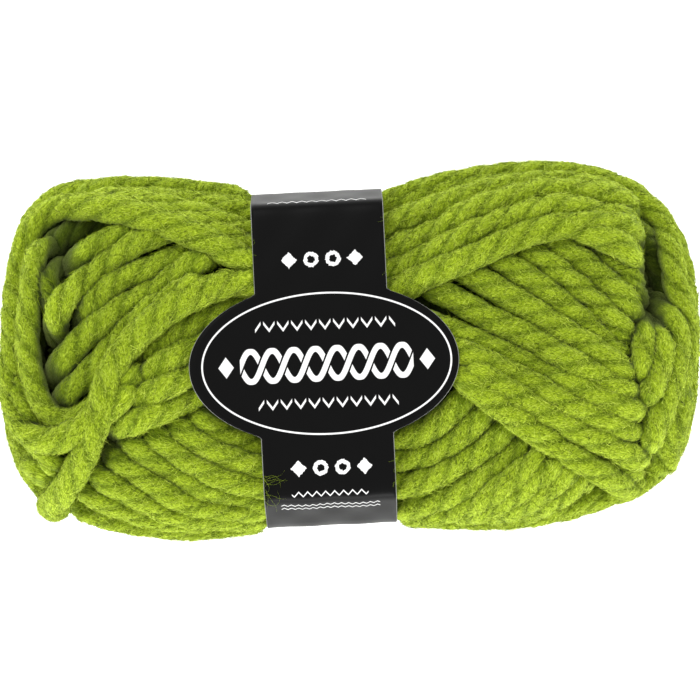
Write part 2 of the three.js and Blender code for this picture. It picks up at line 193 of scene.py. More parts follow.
# Courses of the yarn over the top, in the order it was wound.
BUNDLES = [
    Bundle("low_right", "band", "under", {
        0: [(10.5, -20.5, 2), (17.5, -19, 28), (28, -9, 42)],
        3: [(12, -36.5, 5), (27, -31.8, 30), (44, -19.5, 40)],
        7: [(38, -38.5, 25), (46, -34, 35), (57, -25.5, 42)]}),
    Bundle("low_left", "band", "under", {
        0: [(-20.5, -22.8, 170), (-27, -20.5, 160), (-37, -13.5, 145)],
        3: [(-20.5, -34, 176), (-35, -31.2, 165), (-53, -19.5, 140)],
        5: [(-21, -38, 178), (-41, -36.5, 168), (-61, -28, 148)],
        7: [(-22, -41.3, 182), (-43, -41.8, 178), (-66, -35, 155)]}),
    Bundle("low_edge", "band", "round", {
        0: [(11, -38, -2), (35, -38.3, 2), (52, -36.3, 14), (66, -30, 35)]}, least=4.0),
    Bundle("right", "band", "under", {
        0: [(53, 28.5, -30), (61, 21.5, -48), (67, 11, -72)],
        3: [(36, 20.5, -38), (50, 9.8, -42), (65.5, -4.5, -42)],
        6: [(25, 3.5, -22), (46, -5.3, -25), (68, -15.5, -25)],
        8: [(39, -10.5, -30), (52, -18, -26), (68.5, -26, -25)]}),
    Bundle("left_inner", "band", "under", {
        0: [(-35, 6.3, 205), (-41, 2.8, 215), (-48.5, -4.5, 228)],
        3: [(-36, -10.8, 203), (-45, -14, 200), (-55.5, -19, 205)]}),
    Bundle("left_end", "under", "under", {
        0: [(-68.6, 22, 255), (-68.9, 14, 272), (-68.2, 7, 278)]}, thick=0.8),
    Bundle("left", "band", "under", {
        0: [(-50, 28.5, 190), (-57.5, 25, 205), (-65, 20.5, 222)],
        1: [(-46, 25.5, 195), (-58, 19, 215), (-66.5, 10, 238), (-68.5, 2.5, 262)],
        2: [(-42, 21, 203), (-53, 16.5, 207), (-59.5, 10.5, 232), (-61.8, 6, 250)],
        3: [(-44, 14.5, 212), (-55, 8, 220), (-69.3, -6.3, 228)],
        4: [(-46, 8.5, 206), (-57, -2.5, 225), (-68, -13.5, 228)]}),
    Bundle("right", "under", "under", {
        0: [(50, 28.3, -5), (59, 24.6, -22), (66, 18.3, -50)]}),
    Bundle("high_right", "band", "under", {
        0: [(9, 34.5, 25), (24, 39.3, 15), (43, 42, 0), (62, 37.5, -20)],
        2: [(9, 23.8, 18), (25, 30, 20), (45, 36, 6), (66.8, 33, -15)],
        4: [(9, 13.8, 18), (25, 19.7, 24), (45, 27.3, 10), (67.6, 27, -8)]}),
    Bundle("high_left", "band", "under", {
        0: [(-23, 36, 172), (-35, 37.5, 176), (-64, 35.5, 190)],
        3: [(-23, 23.2, 160), (-32, 26.5, 158), (-54, 33.5, 165)]}),
    Bundle("hook_inner", "under", "band", {
        0: [(-69, 28.5, 250), (-71.2, 21, 258), (-72.7, 11, 266), (-72.9, -2, 274),
            (-70.4, -12.5, 300), (-65, -16.6, 360), (-58.5, -13, 395)]}, least=3.5, thick=0.84),
    Bundle("low_stub", "band", "under", {
        0: [(-71.5, -20, 295), (-69, -24, 308), (-64, -30.5, 312)],
        1: [(-76, -20, 292), (-73, -26.5, 305), (-66, -33, 325)]}, least=2.0),
    Bundle("hook_left", "band", "band", {
        0: [(-22.7, 19.5, 168), (-35, 24.3, 157), (-55, 31.2, 163), (-65, 33.2, 184),
            (-72.5, 29, 235), (-76.2, 18, 260), (-77.2, 4, 268), (-76.8, -9, 280),
            (-73, -19, 312), (-66.5, -21, 366), (-60, -17, 400)]
    }, least=4.5, edge=11.0, thick=1.05, proud=[(-40, 24, 18, 2.2)]),
    Bundle("rim_left", "band", "under", {
        0: [(-48, 38.5, 180), (-66, 36.5, 194), (-74.2, 30, 240), (-77.5, 18, 262), (-79, 4, 268),
            (-78, -14, 282), (-72, -28.5, 310), (-64, -35.5, 335)]
    }, least=4.5, edge=0.0, proud=[(-67, 30, 7, 2.8)]),
    Bundle("cross_left", "band", "round", {
        0: [(-22.5, 15, 178), (-38, 11.3, 213), (-51.3, 0, 235), (-58, -17, 248),
            (-62.9, -29, 242), (-67.9, -38.5, 247)]}, thick=1.08, proud=[(-68, -34, 7, 4.5)]),
    Bundle("cross_right", "band", "round", {
        0: [(24.5, -5.5, -33), (48, -21.5, -34), (64.5, -32, -32)]}, thick=1.04),
    Bundle("rim_right", "under", "under", {
        0: [(68.5, 7, -98), (67, -1, -103), (64.5, -8, -115)],
        1: [(71, 6, -92), (69.5, -4, -100), (66, -14, -113)],
        2: [(74.2, 11.5, -96), (73.4, 2, -95), (71.2, -10, -102), (65.5, -25.5, -112)]
    }, least=3.4, edge=12.0),
    Bundle("rim_right_outer", "band", "under", {
        0: [(52, 40.3, -8), (62, 37.5, -25), (69.5, 32.5, -48), (73.2, 25, -70), (74.3, 15, -83),
            (76, 4, -89), (75.2, -8, -98), (73, -21, -106), (67.5, -31.5, -125)]
    }, least=4.0, edge=7.0, thick=1.02, proud=[(66, -27, 7, 1.6)]),
    Bundle("rim_right_low", "under", "under", {
        0: [(76.5, -6, -92), (74, -18, -103), (71.5, -26, -115), (65, -33, -145)]
    }, least=3.4, edge=1.0),
]

# Strands right round the sides and ends, laid first, on the base surface: height of the middle,
# and how far it rises and falls once round.
RIMS = [(10.5, 1.5), (5.2, 2.0), (-0.2, 1.5), (-5.6, 2.0), (-11.0, 1.5)]
RIM_HALF_WIDTH = 42.0  # before it is settled on the surface
RIM_POINTS = 400


def smoothstep(x, low, high):
    t = np.clip((x - low) / (high - low), 0, 1)
    return t * t * (3 - 2 * t)


def resample(points, step):
    """Points along a polyline, about step apart, and the polyline's length."""
    run = np.concatenate([[0], np.cumsum(np.linalg.norm(np.diff(points, axis=0), axis=1))])
    at = np.linspace(0, run[-1], max(int(round(run[-1] / step)), 3) + 1)
    return np.column_stack([np.interp(at, run, c) for c in points.T]), at


def drawn_course(stations):
    """Points of a course seen from above, through its stations at their headings."""
    points = []
    for (x0, y0, a0), (x1, y1, a1) in zip(stations, stations[1:]):
        pull = math.hypot(x1 - x0, y1 - y0) / 3
        a0, a1 = math.radians(a0), math.radians(a1)
        ends = np.array([(x0, y0), (x0 + pull * math.cos(a0), y0 + pull * math.sin(a0)),
                         (x1 - pull * math.cos(a1), y1 - pull * math.sin(a1)), (x1, y1)])
        t = np.linspace(0, 1, max(int(3 * pull / STEP), 4))[:, None]
        points.append(((1 - t) ** 3) * ends[0] + 3 * t * (1 - t) ** 2 * ends[1]
                      + 3 * t**2 * (1 - t) * ends[2] + t**3 * ends[3])
    return np.concatenate([points[0], *[p[1:] for p in points[1:]]])


def run_on(neighbour, end, length):
    """The taut course past an end, for a given length."""
    points = []
    step = unit(end - neighbour) * STEP
    here = end
    for _ in range(int(length / STEP)):
        ahead = settle(here + step, BASE_INSET, STEP_ROUNDS)
        step = unit(ahead - here) * STEP
        points.append(ahead)
        here = ahead
    return points


def blended(bundle, k):
    """The stations of strand k, which lies between the nearest given strands of its bundle."""
    given = bundle.strands
    before = max(number for number in given if number <= k)
    after = min(number for number in given if number >= k)
    if len(given[before]) != len(given[after]):
        return np.array(given[before], dtype=float)
    part = (k - before) / max(after - before, 1)
    return np.array(given[before]) * (1 - part) + np.array(given[after]) * part


def top_strand(bundle, k):
    """A strand's middle line on the base surface, and how deep each point is tucked in."""
    xy = drawn_course(blended(bundle, k))
    laid = on_top(xy, BASE_INSET, bundle.edge)
    (lead_length, lead_tuck), (trail_length, trail_tuck) = TAILS[bundle.start], TAILS[bundle.end]
    lead = run_on(laid[1], laid[0], lead_length)[::-1]
    trail = run_on(laid[-2], laid[-1], trail_length)
    points, at = resample(np.array([*lead, *laid, *trail]), STEP)
    for _ in range(EASING):
        points[1:-1] = (points[:-2] + 2 * points[1:-1] + points[2:]) / 4
    past_start = len(lead) * STEP - at - lead_tuck
    past_end = at - (at[-1] - len(trail) * STEP) - trail_tuck
    tuck = smoothstep(np.maximum(past_start, past_end), 0, TUCK_LENGTH)
    return settle(points, BASE_INSET), tuck


def rim_strand(height, sway, phase):
    """A strand once round the sides and ends, which isn't tucked in anywhere."""
    turn = np.linspace(0, 2 * math.pi, RIM_POINTS)
    out = np.column_stack([HALF_LENGTH * np.cos(turn), RIM_HALF_WIDTH * np.sin(turn),
                           height + sway * np.sin(turn + phase)])
    points, _ = resample(settle(out, BASE_INSET, FAR_ROUNDS), STEP)
    return points, np.zeros(len(points))


# ---- The card band

BAND_MIDDLE = np.array([-5.8, -1.9, 0.0])
BAND_TURN = math.radians(2.7)
BAND_HALF_HEIGHT = 37.9  # along Y
BAND_HALF_DEPTH = 28.1  # along Z
STRAP_WIDTH = 29.2
OVAL_HALF_LENGTH = 29.8
OVAL_HALF_HEIGHT = 17.9
OVAL_DROP = 1.4  # from the band's middle to the oval's, towards -Y
CREASE_UP = 34.7  # y of the fold at the front's upper end
CREASE_DOWN = -31.4
CREASE_MIDDLE = (CREASE_UP + CREASE_DOWN) / 2
CREASE_HALF = (CREASE_UP - CREASE_DOWN) / 2
CREASE_ROUNDING = 1.6
FACE_CROWN = 2.6  # how much the front and back bulge between the folds
FACE_POINTS = 60
SIDE_HALF_DEPTH = 9.0  # of the stretch at full height
SECTION_STEP = 0.25
CARD_THICKNESS = 0.35
CARD_PRESS = 2.5  # how far beside the card it still presses the yarn
WING_RISE = 0.9  # of the oval's tips, which the yarn under them bends up
LAP_LENGTH = 12.0  # of the glued lap, underneath
LAP_RISE = 0.42
LAP_SLOPE = 5.0  # the length over which the upper end climbs onto the lower


def face_height(y):
    """Z of the band's front at y."""
    return BAND_HALF_DEPTH - FACE_CROWN * ((y - CREASE_MIDDLE) / CREASE_HALF) ** 2


def band_section():
    """Evenly spaced points (y, z) round the band, from the front's middle by +Y, and normals."""
    y = np.linspace(CREASE_UP, CREASE_DOWN, FACE_POINTS)
    z = face_height(y)
    top, side = BAND_HALF_HEIGHT, SIDE_HALF_DEPTH
    loop = np.concatenate([
        np.column_stack([y, z]), [(-top, side), (-top, -side)],
        np.column_stack([y[::-1], -z]), [(top, -side), (top, side), (CREASE_UP, z[0])]])
    even, _ = resample(loop, SECTION_STEP)
    even = even[:-1]
    reach = int(4 * CREASE_ROUNDING / SECTION_STEP)
    away = np.arange(-reach, reach + 1) * SECTION_STEP
    weights = np.exp(-((away / CREASE_ROUNDING) ** 2) / 2)
    weights /= weights.sum()
    wrapped = np.concatenate([even[-reach:], even, even[:reach]])
    smooth = np.column_stack([np.convolve(c, weights, "valid") for c in wrapped.T])
    first = np.argmin(np.abs(smooth[:, 0]) + (smooth[:, 1] < 0) * FAR)
    smooth = np.roll(smooth, -first, axis=0)[::-1]
    ahead = np.roll(smooth, -1, axis=0) - np.roll(smooth, 1, axis=0)
    normals = unit(np.column_stack([-ahead[:, 1], ahead[:, 0]]))
    return smooth, normals


def to_band(p):
    """Points in the band's own frame: x across the strap, y round it, z up."""
    c, s = math.cos(BAND_TURN), math.sin(BAND_TURN)
    x, y, z = np.moveaxis(p - BAND_MIDDLE, -1, 0)
    return np.stack([c * x + s * y, -s * x + c * y, z], -1)


def from_band(p):
    """The points back in the common frame."""
    c, s = math.cos(BAND_TURN), math.sin(BAND_TURN)
    x, y, z = np.moveaxis(p, -1, 0)
    return np.stack([c * x - s * y, s * x + c * y, z], -1) + BAND_MIDDLE


def under_band(p, clearance):
    """Draws points that the card covers in to clearance inside its outer face."""
    x, y, z = np.moveaxis(to_band(p), -1, 0)
    past_strap = np.abs(x) - STRAP_WIDTH / 2
    oval = np.hypot(x / OVAL_HALF_LENGTH, (y + OVAL_DROP) / OVAL_HALF_HEIGHT)
    past_oval = np.where(z > 0, (oval - 1) * OVAL_HALF_HEIGHT, FAR)
    pressed = 1 - smoothstep(np.minimum(past_strap, past_oval), 0, CARD_PRESS)
    section, normals = band_section()
    inner = section - normals * clearance
    angles = np.arctan2(inner[:, 1], inner[:, 0])
    room = np.interp(np.arctan2(z, y), angles, np.hypot(*inner.T), period=2 * math.pi)
    shrink = 1 + (np.minimum(room / np.maximum(np.hypot(y, z), 1e-6), 1) - 1) * pressed
    return from_band(np.stack([x, y * shrink, z * shrink], -1))


# ---- Laying the strands

LINE_PRESS = CARD_THICKNESS + 0.3 + YARN_RADIUS * 0.95  # from the card's face to a middle
LOWEST_LINE = -MIDDLE_HEIGHT + YARN_RADIUS * 0.8


def supports(strands):
    """The points of strands, in a tree, and the group that each belongs to."""
    owner = [strand["group"] for strand in strands for _ in strand["line"]]
    tree = KDTree(max(len(owner), 1))
    for k, p in enumerate(p for strand in strands for p in strand["line"]):
        tree.insert(p, k)
    tree.balance()
    return tree, owner


def lift_needed(strands, base, normal, group):
    """How far off the base each point has to be to lie on the strands under it."""
    need = np.full(len(base), -FAR)
    tree, owner = supports(strands)
    for i, (p, n) in enumerate(zip(base, normal)):
        for q, k, _ in tree.find_range(p, SEARCH_REACH):
            d = np.array(q) - p
            rise = d @ n
            aside = math.sqrt(max(d @ d - rise * rise, 0))
            apart = BESIDE if owner[k] == group else CROSSING
            if aside < apart:
                need[i] = max(need[i], rise + math.sqrt(apart**2 - aside**2))
    return np.clip(need, DEEPEST, MOST_LIFT)


def lay(strands, base, tuck, group, side, bundle):
    """Lays a strand on those before it. side is 1 for the top and -1 for the underside."""
    base = base if side > 0 else settle(base * (side, 1, side), BASE_INSET, FAR_ROUNDS)
    normal = unit(gradient(base, BASE_INSET))
    need = lift_needed(strands, base, normal, group)
    lift = need.copy()
    for _ in range(SAG_ROUNDS):
        lift[1:-1] = np.maximum(need[1:-1], (lift[:-2] + lift[2:]) / 2 - SLACK)
    if bundle is ROUND:
        least = 0
    else:
        turned = smoothstep(1 - np.abs(normal[:, 2]), *RIM_TURN)
        least = LEAST_LIFT + ((RIM_LIFT if side > 0 else UNDER_LIFT) - LEAST_LIFT) * turned
    if side > 0:
        least = np.maximum(least, bundle.least)
    lift = np.maximum(lift, least)
    for x, y, reach, extra in [*bundle.proud, DENT]:
        away = np.hypot(base[:, 0] - x, base[:, 1] - y)
        lift = lift + extra * np.exp(-((away / reach) ** 2))
    for _ in range(LIFT_EASING):
        lift[1:-1] = (lift[:-2] + 2 * lift[1:-1] + lift[2:]) / 4
    line = base + normal * (lift * (1 - tuck))[:, None]
    line -= unit(DIVE * normal + (0, 0, side)) * (TUCK_DEPTH * tuck)[:, None]
    line = under_band(line, LINE_PRESS)
    line[:, 2] = np.maximum(line[:, 2], LOWEST_LINE)
    strands.append({"line": line, "normal": normal, "group": group, "side": side,
                    "thick": bundle.thick, "closed": bundle is ROUND})


def wind():
    """Lays the strands round the sides, then the underside's, then the top's."""
    rng = np.random.default_rng(7)
    strands = []
    for i, rim in enumerate(RIMS):
        lay(strands, *rim_strand(*rim, rng.uniform(0, 2 * math.pi)), i, 1, ROUND)
    for side in (-1, 1):
        for bundle in BUNDLES:
            for k in range(max(bundle.strands) + 1):
                lay(strands, *top_strand(bundle, k), (side, bundle.name), side, bundle)
    return strands


# ---- Meshes


def new_object(name, data):
    thing = bpy.data.objects.new(name, data)
    bpy.context.collection.objects.link(thing)
    return thing


def mesh_object(name, points, faces, material):
    """A mesh of points, none of them under the surface it lies on, and faces of equal size."""
    points[:, 2] = np.maximum(points[:, 2], FLOOR)
    places = ((points + [0, 0, MIDDLE_HEIGHT]) * MM).astype(np.float32)
    mesh = bpy.data.meshes.new(name)
    mesh.from_pydata(places.tolist(), [], faces.tolist(), shade_flat=False)
    mesh.validate()
    mesh.materials.append(material)
    return new_object(name, mesh)


def store(piece, **attributes):
    """Stores numbers, or vectors, for the points of a mesh, for its material to read."""
    for name, values in attributes.items():
        kind, field = ("FLOAT", "value") if values.ndim == 1 else ("FLOAT_VECTOR", "vector")
        attribute = piece.data.attributes.new(name, kind, "POINT")
        attribute.data.foreach_set(field, values.astype(np.float32).ravel())


def joined(strands, key):
    """One array of what all strands have for each of their points."""
    return np.concatenate([s[key].reshape(-1, *s[key].shape[2:]) for s in strands])


def tube_faces(rows, sides, start=0):
    """Faces between the rows of a grid of points that closes on itself across."""
    i = np.arange(rows - 1)[:, None] * sides + start
    j = np.arange(sides)[None, :]
    k = (j + 1) % sides
    return np.stack([i + j, i + k, i + sides + k, i + sides + j], -1).reshape(-1, 4)


STRAND_FLATNESS = 0.97  # strands are pressed a little flat against the ball
STRAND_SQUARENESS = 2.5  # and against each other; 2 would leave them round
FLOOR = -MIDDLE_HEIGHT + 0.03
PLIES = 3
TWIST_PITCH = 18.5  # for one full turn of the plies
PLY_OFFSET = 1.05  # of the middle of a ply from the strand's
PLY_SHARE = (0.5, 1.0)  # of that offset that a strand has
FIBRE_SLANT = math.radians(27)  # of the fibres from the strand's direction
FIBRE_STRETCH = 0.35  # how much slower streaks change along the yarn than round it
STREAK_START = 500  # the furthest into the streaks that a strand may begin
PLY_RING = np.radians([-60, -50, -36, -13, 13, 36, 50])  # angles from the middle of a ply
RING = np.concatenate([PLY_RING + 2 * math.pi * k / PLIES for k in range(PLIES)])
SURFACE_PRESS = CARD_THICKNESS + 0.25  # from the card's face to the yarn's surface
END_THICKNESS = 0.35  # of a strand's tip, which thickens over END_TAPER
END_TAPER = (-0.1, 4.0)

# How a strand varies along its length: how much, and over what length.
WOBBLE = (0.4, 9.0)
TWIST_CHANGE = (0.10, 30.0)
THICKNESS_CHANGE = (0.05, 12.0)
THICKNESS_LUMPS = (0.03, 5.0)
PLY_CHANGE = (0.25, 20.0)

# Where painted shade darkens the yarn's surface and where it is left open: gaps to the next
# strand, depths in the wound form at which no strand lies over it, and depths at which little light
# comes down.
GAP_SHADE = (-0.2, 0.6)
OUTERMOST = (0.3, 2.2)
DEPTH_SHADE = (3.4, 7.2)
LEAST_OPEN = 0.1

CORE_INSET = 12.5
CORE_AROUND = 150
CORE_ALONG = 110
CORE_REACH = 0.98  # of a quarter turn, at which its ends are cut off
CORE_RIDGES = 30
CORE_RIDGE_HEIGHT = 1.6
CORE_SLANT = 0.9
CORE_STREAKS = 0.2
# The core is painted in almost the deepest shade all over.
CORE_OPEN = 0.05
CORE_CREST = 0.5


def ply_reach(offset):
    """How far the plies reach from the strand's middle, at the angles of RING."""
    turn = np.tile(PLY_RING, PLIES)
    radius = YARN_RADIUS - offset
    return offset * np.cos(turn) + np.sqrt(radius**2 - (offset * np.sin(turn)) ** 2)


def smooth_noise(rng, count, how_much, period):
    """Random values that vary smoothly along a strand."""
    knots = rng.uniform(-1, 1, int(count * STEP / period) + 4)
    at = np.arange(count) * STEP / period
    i = at.astype(int)
    t = smoothstep(at - i, 0, 1)
    return how_much * (knots[i] * (1 - t) + knots[i + 1] * t)


def shape_strands(strands):
    """Gives each strand its twist, thickness and surface."""
    rng = np.random.default_rng(11)
    for strand in strands:
        line, normal = strand["line"], strand["normal"]
        count = len(line)
        along = unit(np.gradient(line, axis=0))
        out = unit(normal - along * (normal * along).sum(-1, keepdims=True))
        across = np.cross(out, along)
        line = line + across * smooth_noise(rng, count, *WOBBLE)[:, None]
        turn = 2 * math.pi / (TWIST_PITCH * (1 + smooth_noise(rng, count, *TWIST_CHANGE)))
        twist = rng.uniform(0, 2 * math.pi) + np.cumsum(turn * STEP)
        thick = strand["thick"] + (smooth_noise(rng, count, *THICKNESS_CHANGE)
                                   + smooth_noise(rng, count, *THICKNESS_LUMPS))
        offset = PLY_OFFSET * (rng.uniform(*PLY_SHARE) + smooth_noise(rng, count, *PLY_CHANGE))
        if not strand["closed"]:
            from_end = np.minimum(np.arange(count), np.arange(count)[::-1]) * STEP
            thick = thick * (END_THICKNESS + (1 - END_THICKNESS) * smoothstep(from_end, *END_TAPER))
        angle = twist[:, None] + RING
        n = STRAND_SQUARENESS
        squarer = (np.abs(np.cos(angle)) ** n + np.abs(np.sin(angle)) ** n) ** (-1 / n)
        reach = ply_reach(offset[:, None]) * squarer * thick[:, None]
        radial = (np.cos(angle)[..., None] * out[:, None] * STRAND_FLATNESS
                  + np.sin(angle)[..., None] * across[:, None] / STRAND_FLATNESS)
        points = under_band(line[:, None] + radial * reach[..., None], SURFACE_PRESS)
        points[..., 2] = np.maximum(points[..., 2], FLOOR)
        run = np.arange(count)[:, None] * STEP
        slanted = angle - run * math.tan(FIBRE_SLANT) / YARN_RADIUS
        run = np.broadcast_to(run * FIBRE_STRETCH + rng.uniform(0, STREAK_START), angle.shape)
        # How near a ply's crest each point is, for the painted shade in the grooves between plies.
        groove = np.cos(PLIES * (angle - twist[:, None])) * 0.5 + 0.5
        strand.update(
            line=line, points=points, radial=unit(radial),
            crest=groove * (offset / PLY_OFFSET)[:, None],
            along=np.broadcast_to(along[:, None], points.shape),
            fibre=np.stack([run, *(YARN_RADIUS * f(slanted) for f in (np.cos, np.sin))], -1))
    shade_strands(strands)


def shade_strands(strands):
    """How open each surface point is, from how near it is to another strand and how deep: the
    painted shade of the yarn's crevices and deep turns.
    """
    starts = np.cumsum([0] + [len(strand["line"]) for strand in strands])
    middles = np.concatenate([strand["line"] for strand in strands]).astype(np.float32)
    squares = (middles**2).sum(1)
    for strand, start, end in zip(strands, starts, starts[1:]):
        points = strand["points"].reshape(-1, 3).astype(np.float32)
        gaps = (points**2).sum(1)[:, None] + squares[None, :] - 2 * points @ middles.T
        gaps[:, start:end] = FAR**2
        nearest = np.sqrt(np.maximum(gaps.min(1), 0))
        open_beside = smoothstep(nearest - YARN_RADIUS, *GAP_SHADE)
        g = np.linalg.norm(gradient(strand["points"], 0).reshape(-1, 3), axis=1)
        depth = (1 - level(strand["points"], 0).ravel()) / g
        outermost = 1 - smoothstep(depth, *OUTERMOST)
        light = LEAST_OPEN + (1 - LEAST_OPEN) * (1 - smoothstep(depth, *DEPTH_SHADE))
        openness = np.maximum(open_beside, outermost) * light
        strand["open"] = openness.reshape(strand["points"].shape[:2])


def strands_object(name, strands, material):
    """One mesh of many strands, each a tube with its ends filled."""
    counts = [len(strand["line"]) for strand in strands]
    starts = np.cumsum([0, *counts]) * len(RING)
    faces = [tube_faces(count, len(RING), start) for count, start in zip(counts, starts)]
    piece = mesh_object(name, joined(strands, "points"), np.concatenate(faces), material)
    close_ends(piece)
    store(piece, **{key: joined(strands, key) for key in ("fibre", "open", "crest")})
    return piece


def close_ends(piece):
    """Fills the open ends of tubes."""
    bm = bmesh.new()
    bm.from_mesh(piece.data)
    edges = [edge for edge in bm.edges if edge.is_boundary]
    bmesh.ops.holes_fill(bm, edges=edges, sides=0)
    bm.to_mesh(piece.data)
    bm.free()


def core_object(material):
    """The inner turns, seen only in the gaps between strands, as a ridged body painted in deep
    shade.
    """
    turn = np.linspace(0, 2 * math.pi, CORE_AROUND, endpoint=False)
    x = np.sin(np.linspace(-1, 1, CORE_ALONG) * math.pi / 2 * CORE_REACH)
    x, turn = np.meshgrid((HALF_LENGTH - CORE_INSET) * x, turn, indexing="ij")
    c, s = np.cos(turn), np.sin(turn)
    half_y, half_z = half_width(x, c) - CORE_INSET, column(DEPTH, x) - CORE_INSET
    n, m = SECTION_SQUARENESS, squareness_at(x)
    reach = (np.abs(c / half_y) ** n + np.abs(s / half_z) ** n) ** (-1 / n)
    reach = reach * (1 - np.abs(x / (HALF_LENGTH - CORE_INSET)) ** m) ** (1 / m)
    points = np.stack([x, c * reach, s * reach], -1).reshape(-1, 3)
    phase = (turn * CORE_RIDGES + x * CORE_SLANT).ravel()
    ridge = np.abs(np.cos(phase / 2)) * CORE_RIDGE_HEIGHT
    points = points + unit(gradient(points, CORE_INSET)) * ridge[:, None]
    points = under_band(points, CORE_INSET)
    piece = mesh_object("yarn_core", points, tube_faces(CORE_ALONG, CORE_AROUND), material)
    close_ends(piece)
    fibre = np.column_stack([phase * CORE_STREAKS, points[:, 1], points[:, 2]])
    store(piece, fibre=fibre, open=np.full(len(points), CORE_OPEN),
          crest=np.full(len(points), CORE_CREST))
    return piece


# ---- The card

CARD_COLUMNS = 40
ROW_STEP = 0.6  # between rows of the card's mesh in front
BACK_ROW_STEP = 2.0
FRONT_ROWS = CREASE_UP + 6  # how far from the front's middle they reach
EDGE_SLOPE = 0.14  # how much wider the card's inner face is than its outer
BUCKLE = 0.10  # of the card, in two crossing waves: how fast, and where they begin
BUCKLE_ACROSS = (0.55, 1.3)
BUCKLE_ALONG = (0.42, 0.4)


def card_object(outside, edge):
    """The band, a sheet bent round the ball with its ends lapped underneath."""
    section, normals = band_section()
    around = np.linalg.norm(np.roll(section, -1, axis=0) - section, axis=1).sum()
    spacing = around / len(section)
    end = around / 2 + LAP_LENGTH / 2
    rows = np.concatenate([
        np.arange(-end, -FRONT_ROWS, BACK_ROW_STEP), np.arange(-FRONT_ROWS, FRONT_ROWS, ROW_STEP),
        np.linspace(FRONT_ROWS, end, int((end - FRONT_ROWS) / BACK_ROW_STEP))])
    part = np.clip((rows + OVAL_DROP) / OVAL_HALF_HEIGHT, -1, 1)
    half = np.maximum(STRAP_WIDTH / 2, OVAL_HALF_LENGTH * np.sqrt(1 - part**2))
    at = (rows / spacing) % len(section)
    i, t = at.astype(int), (at % 1)[:, None]
    j = (i + 1) % len(section)
    path = section[i] * (1 - t) + section[j] * t
    out = unit(normals[i] * (1 - t) + normals[j] * t)
    lap_start = around / 2 - LAP_LENGTH / 2
    lapped = LAP_RISE * smoothstep(rows, lap_start - LAP_SLOPE, lap_start)
    (fast_x, from_x), (fast_y, from_y) = BUCKLE_ACROSS, BUCKLE_ALONG
    layers = []
    prints = []
    for depth, wider in ((0, 0), (CARD_THICKNESS, EDGE_SLOPE)):
        x = np.linspace(-1, 1, CARD_COLUMNS + 1)[None, :] * (half + wider)[:, None]
        wing = WING_RISE * (np.maximum(np.abs(x) - STRAP_WIDTH / 2, 0)
                            / (OVAL_HALF_LENGTH - STRAP_WIDTH / 2)) ** 2
        wave = BUCKLE * np.sin(x * fast_x + from_x) * np.sin(rows * fast_y + from_y)[:, None]
        height = wing + wave + (lapped - depth)[:, None]
        y, z = (path[:, k, None] + out[:, k, None] * height for k in (0, 1))
        layers.append(np.stack([x, y, z], -1))
        prints.append(np.stack([x, np.broadcast_to(rows[:, None], x.shape), x * 0], -1))
    outer, inner = layers
    height, width = outer.shape[:2]
    grid = np.arange(height * width).reshape(height, width)
    quad = np.stack([grid[:-1, :-1], grid[:-1, 1:], grid[1:, 1:], grid[1:, :-1]], -1)
    quad = quad.reshape(-1, 4)
    offset = height * width
    rim = np.concatenate([grid[0, :-1], grid[:-1, -1], grid[-1, :0:-1], grid[:0:-1, 0]])
    next_on = np.roll(rim, -1)
    walls = np.stack([rim, rim + offset, next_on + offset, next_on], -1)
    faces = np.concatenate([quad, quad[:, ::-1] + offset, walls])
    points = from_band(np.concatenate([outer.reshape(-1, 3), inner.reshape(-1, 3)]))
    piece = mesh_object("label_card", points, faces, outside)
    store(piece, print=np.concatenate([p.reshape(-1, 3) for p in prints]))
    piece.data.materials.append(edge)
    slots = (np.arange(len(faces)) >= len(quad)).astype(np.int32)
    piece.data.polygons.foreach_set("material_index", slots)
    smooth = np.arange(len(faces)) < 2 * len(quad)
    piece.data.polygons.foreach_set("use_smooth", smooth)
    return piece


# ---- Fuzz

CARD_MARGIN = 1.0  # round the card, where no fibre stands
ROOT_OPEN = (0.1, 0.6)  # openness at which fibres begin to stand, and at which all do
ROOT_FACING = (-0.6, 0.3)  # the same, for how far the surface faces outwards
UNSEEN_HEIGHT = -8.0  # below it fibres are fewer, by UNSEEN_SHARE
UNSEEN_SHARE = 0.35
FOOT_ALONG, FOOT_ASIDE = 0.7, 0.6  # how far a foot may be from the point it belongs to
FOOT_DEPTH = 0.2
FOOT_BACK = 0.3  # of a fibre's length, behind the point
RADIUS_SHARES = (0.7, 1.3)
TONE_SHARE = 0.7  # of a fibre's tone that follows from how open its place is, as painted shade
SPIKE_TURNS = np.radians([90, 210, 330])

FUZZ = [
    {"name": "close", "pieces": 3, "length": (0.9, 2.4), "rise": (0.0, 0.4), "radius": 0.075,
     "scatter": 0.7, "count": 45000},
    {"name": "loose", "pieces": 1, "length": (2.0, 5.0), "rise": (0.4, 1.6), "radius": 0.05,
     "scatter": 1.0, "count": 8000},
]


def three_sides(middle, radius, side, other):
    """The three corners of a fibre round each middle."""
    return np.stack([middle + radius * (math.cos(a) * side + math.sin(a) * other)
                     for a in SPIKE_TURNS], 1)


def fuzz_roots(strands):
    """Where fibres can stand: points, directions, openness, and how likely each is."""
    roots = {key: joined(strands, key) for key in ("points", "radial", "along", "open")}
    points = roots["points"]
    x, y, z = to_band(points).T
    covered = np.abs(x) < STRAP_WIDTH / 2 + CARD_MARGIN
    oval = np.hypot(x / (OVAL_HALF_LENGTH + CARD_MARGIN),
                    (y + OVAL_DROP) / (OVAL_HALF_HEIGHT + CARD_MARGIN))
    covered |= (oval < 1) & (z > 0)
    facing = (roots["radial"] * unit(gradient(points, 0))).sum(1)
    chance = smoothstep(roots["open"], *ROOT_OPEN) * smoothstep(facing, *ROOT_FACING) * ~covered
    chance = chance * np.where(points[:, 2] > UNSEEN_HEIGHT, 1.0, UNSEEN_SHARE)
    return {**roots, "chance": chance / chance.sum()}


